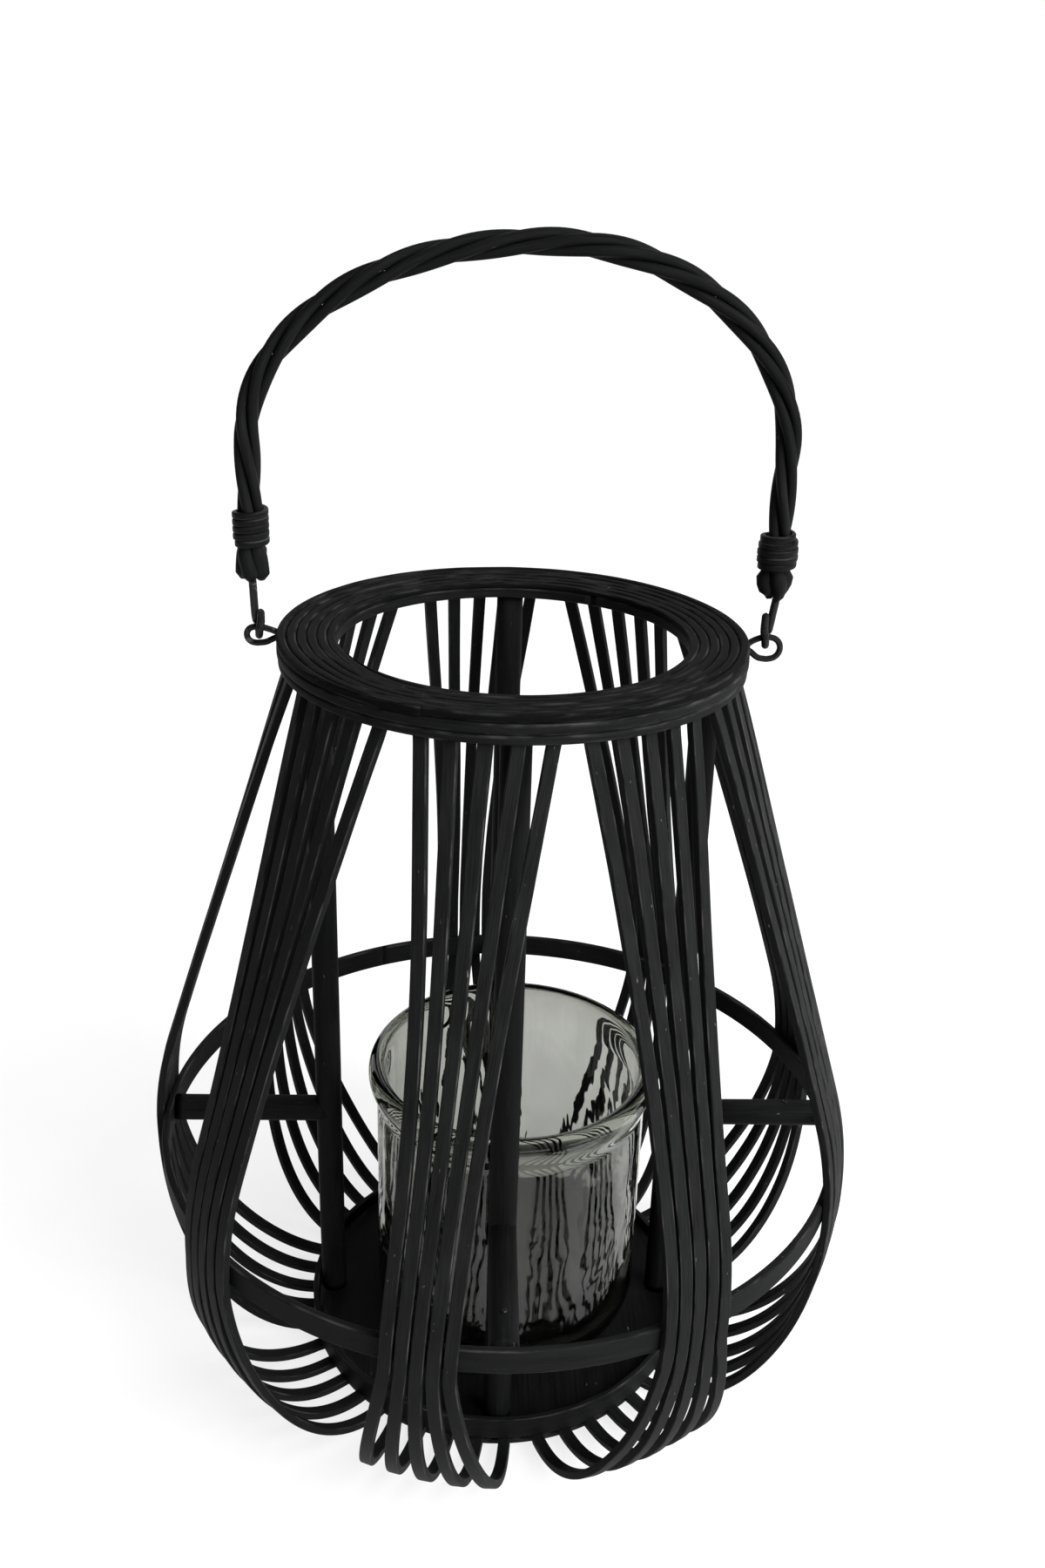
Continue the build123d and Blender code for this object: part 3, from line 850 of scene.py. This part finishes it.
def binding_stations(side, node, bulge):
    """A flat cord wound tightly round the cane ends, its own ends tucked in under the turns."""
    low, high = height_range(node)
    pitch = (high - low) / BINDING_TURNS
    middle = Vector((side * handle_half_span, 0, 0))
    snug = CANE_OFFSET + CANE_RADIUS + CORD_THICKNESS / 2
    steps = STEPS_PER_TURN * BINDING_TURNS
    stations = []
    travelled = 0.0
    for index in range(steps + 1):
        share = index / steps
        turn = tau * (BINDING_TURNS - 1) * share + CORD_START[side]
        height = low + pitch / 2 + (high - low - pitch) * share
        tuck = smoothstep(1 - 14 * min(share, 1 - share))
        radius = snug + bulge * sin(pi * share ** 0.8) - CORD_TUCK * tuck
        out = Vector((cos(turn), sin(turn), 0))
        lift = UP * wander(side + 4.0, 9 * share, CORD_WAVER)
        stations.append((middle + out * radius + UP * height + lift, out, UP, travelled, 1.0, 1.0))
        travelled += radius * tau * (BINDING_TURNS - 1) / steps
    return stations, pitch


for side, node, bulge in ((-1, "left_binding", 0.0), (1, "right_binding", 0.95 * MM)):
    stations, pitch = binding_stations(side, node, bulge)
    cord = Skin()
    section = bar_section(CORD_THICKNESS, 0.99 * pitch, CORD_CORNER)
    cord.sweep(stations, section, seed=dice.random())
    cord.piece(node + "_cord", "handle", "binding_cord", CORD_STAIN, node)

# ---------------------------------------------------------------- jar

JAR_WALL_RADIUS = 57.8 * MM
JAR_WALL = 4.0 * MM
JAR_FLOOR = 8.0 * MM
JAR_FLOOR_CROWN = 2.4 * MM  # the pressed floor stands a little higher in its middle
JAR_RING_RADIUS = 33.0 * MM  # a raised ring pressed into the floor
JAR_RING_HEIGHT = 1.3 * MM
JAR_RING_WIDTH = 2.6 * MM
JAR_FOOT_ROUND = 13.0 * MM
JAR_CORNER_ROUND = 6.0 * MM
LIP_CROWN = 6.0 * MM
LIP_SWELL_HEIGHT = 13.0 * MM
JAR_SEGMENTS = 200
RIPPLE = 0.8 * MM

jar_low, jar_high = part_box("jar")
jar_middle = (jar_low + jar_high) / 2
jar_lip_radius = (jar_high.x - jar_low.x) / 2
jar_inner = JAR_WALL_RADIUS - JAR_WALL


def jar_profile():
    """The jar's outline, from the middle of its foot round the lip to the middle of its floor."""
    foot_height, lip_top = jar_low.z, jar_high.z
    crown_base = lip_top - LIP_CROWN
    profile = [(JAR_WALL_RADIUS * share, foot_height) for share in (0, 0.25, 0.5, 0.7)]
    flat = JAR_WALL_RADIUS - JAR_FOOT_ROUND
    for step in range(9):
        turn = pi / 2 * step / 8
        rise = JAR_FOOT_ROUND * (1 - cos(turn))
        profile.append((flat + JAR_FOOT_ROUND * sin(turn), foot_height + rise))
    swell_start = crown_base - LIP_SWELL_HEIGHT
    wall_start = profile[-1][1]
    for step in range(1, 31):
        profile.append((JAR_WALL_RADIUS, wall_start + (swell_start - wall_start) * step / 30))
    swell = jar_lip_radius - JAR_WALL_RADIUS
    for step in range(1, 11):
        reach = JAR_WALL_RADIUS + swell * smoothstep(step / 10)
        profile.append((reach, swell_start + LIP_SWELL_HEIGHT * step / 10))
    half_lip = (jar_lip_radius - jar_inner) / 2
    lip_middle = jar_lip_radius - half_lip
    for step in range(1, 17):
        turn = pi * step / 16
        profile.append((lip_middle + half_lip * cos(turn), crown_base + LIP_CROWN * sin(turn)))
    floor = foot_height + JAR_FLOOR
    corner_top = floor + JAR_CORNER_ROUND
    profile += [(jar_inner, crown_base + (corner_top - crown_base) * step / 34) for step in range(1, 35)]
    for step in range(1, 9):
        turn = pi / 2 * step / 8
        reach = jar_inner - JAR_CORNER_ROUND * (1 - cos(turn))
        profile.append((reach, corner_top - JAR_CORNER_ROUND * sin(turn)))
    flat = profile[-1][0]
    for step in range(1, 33):
        share = step / 32
        reach = flat * (1 - share)
        ring = JAR_RING_HEIGHT * smoothstep(1 - abs(reach - JAR_RING_RADIUS) / JAR_RING_WIDTH)
        profile.append((reach, floor + JAR_FLOOR_CROWN * smoothstep(share) + ring))
    return [(radius, height, 0.0) for radius, height in profile]


def jar_ripple(turn, radius, height):
    """The wall's drawn ripples: strongest low down, and gone at the lip and the foot's flat."""
    rise = (height - jar_low.z) / (jar_high.z - jar_low.z)
    if radius < 0.8 * jar_inner:
        return 0.0
    fade = 0.12 + 0.88 * smoothstep(1.5 - 1.9 * rise)
    strength = smoothstep(5 * rise) * fade * smoothstep(7.5 - 8 * rise)
    layer = 4.0 if radius < 0.96 * JAR_WALL_RADIUS else 0.0
    broad = noise.noise(Vector((2.7 * cos(turn), 2.7 * sin(turn), 30 * height + layer)))
    bend = 2.0 * broad
    narrow = noise.noise(Vector((5.5 * cos(turn) + bend, 5.5 * sin(turn) - bend, 70 * height + layer)))
    return RIPPLE * strength * (broad + 0.4 * narrow)


jar = Skin()
jar.lathe(jar_profile(), (jar_middle.x, jar_middle.y), JAR_SEGMENTS, swell=jar_ripple)
jar.piece("candle_jar", "jar", "jar_glass", GLASS, "jar")

# ---------------------------------------------------------------- studio

FLOOR_HALF = 4.0
COVE_RADIUS = 1.5
COVE_TOP = 4.0


def studio_floor():
    """A pale floor that curves up into a backdrop behind the lantern."""
    profile = [(-FLOOR_HALF, 0.0), (FLOOR_HALF - COVE_RADIUS, 0.0)]
    for step in range(1, 17):
        turn = pi / 2 * step / 16
        run = FLOOR_HALF - COVE_RADIUS + COVE_RADIUS * sin(turn)
        profile.append((run, COVE_RADIUS * (1 - cos(turn))))
    profile.append((FLOOR_HALF, COVE_TOP))
    points = [(side * FLOOR_HALF, run, rise) for run, rise in profile for side in (-1, 1)]
    faces = [(2 * i, 2 * i + 1, 2 * i + 3, 2 * i + 2) for i in range(len(profile) - 1)]
    mesh = bpy.data.meshes.new("studio_floor")
    mesh.from_pydata(points, [], faces)
    mesh.polygons.foreach_set("use_smooth", [True] * len(faces))
    mesh.materials.append(studio_paper())
    floor = bpy.data.objects.new("studio_floor", mesh)
    bpy.context.scene.collection.objects.link(floor)


def softbox(name, place, target, size, power):
    """A square area light that faces its target, and leaves no hot spot in the glass."""
    lamp = bpy.data.lights.new(name, "AREA")
    lamp.shape = "SQUARE"
    lamp.size = size
    lamp.energy = power
    light = bpy.data.objects.new(name, lamp)
    light.location = place
    light.visible_transmission = False
    light.visible_glossy = False
    light.rotation_euler = (Vector(target) - Vector(place)).to_track_quat("-Z", "Y").to_euler()
    bpy.context.scene.collection.objects.link(light)


def sky(seen, lighting):
    """Even pale light from all round, and the white of the studio beyond the floor."""
    world = bpy.data.worlds.new("studio")
    world.use_nodes = True
    background = world.node_tree.nodes["Background"]
    background.inputs["Color"].default_value = (1.0, 1.0, 1.0, 1.0)
    light_path = world.node_tree.nodes.new("ShaderNodeLightPath")
    strength = world.node_tree.nodes.new("ShaderNodeMapRange")
    strength.inputs["To Min"].default_value = lighting
    strength.inputs["To Max"].default_value = seen
    world.node_tree.links.new(light_path.outputs["Is Camera Ray"], strength.inputs["Value"])
    world.node_tree.links.new(strength.outputs["Result"], background.inputs["Strength"])
    bpy.context.scene.world = world


CAMERA_PLACE = (-0.0134, -0.5191, 0.4963)
CAMERA_PITCH = 23.99  # degrees that it looks down
CAMERA_YAW = -2.04  # degrees that it turns to its left
CAMERA_ROLL = 1.81
CAMERA_LENS = 33.18


def camera():
    """The camera looks down at the lantern from just above the handle's hinge, close in front."""
    lens = bpy.data.cameras.new("camera")
    lens.lens = CAMERA_LENS
    lens.sensor_width = 36.0
    viewer = bpy.data.objects.new("camera", lens)
    aim = Matrix.Rotation(radians(CAMERA_YAW), 4, "Z") @ Matrix.Rotation(radians(90 - CAMERA_PITCH), 4, "X")
    roll = Matrix.Rotation(radians(CAMERA_ROLL), 4, "Z")
    viewer.matrix_world = Matrix.Translation(CAMERA_PLACE) @ aim @ roll
    bpy.context.scene.collection.objects.link(viewer)
    bpy.context.scene.camera = viewer


LANTERN_MIDDLE = (0.0, 0.0, 0.2)
BACKDROP_MIDDLE = (0.0, FLOOR_HALF, 1.2)

studio_floor()
sky(seen=0.95, lighting=0.11)
softbox("key", (1.6, -1.1, 1.5), LANTERN_MIDDLE, size=2.0, power=330)
softbox("fill", (1.3, -1.9, 0.5), LANTERN_MIDDLE, size=1.6, power=60)
softbox("top", (0.5, 0.1, 2.4), LANTERN_MIDDLE, size=2.2, power=12)
softbox("backdrop", (0.0, 1.2, 3.2), BACKDROP_MIDDLE, size=2.5, power=220)
camera()
bpy.context.scene.view_settings.view_transform = "Standard"
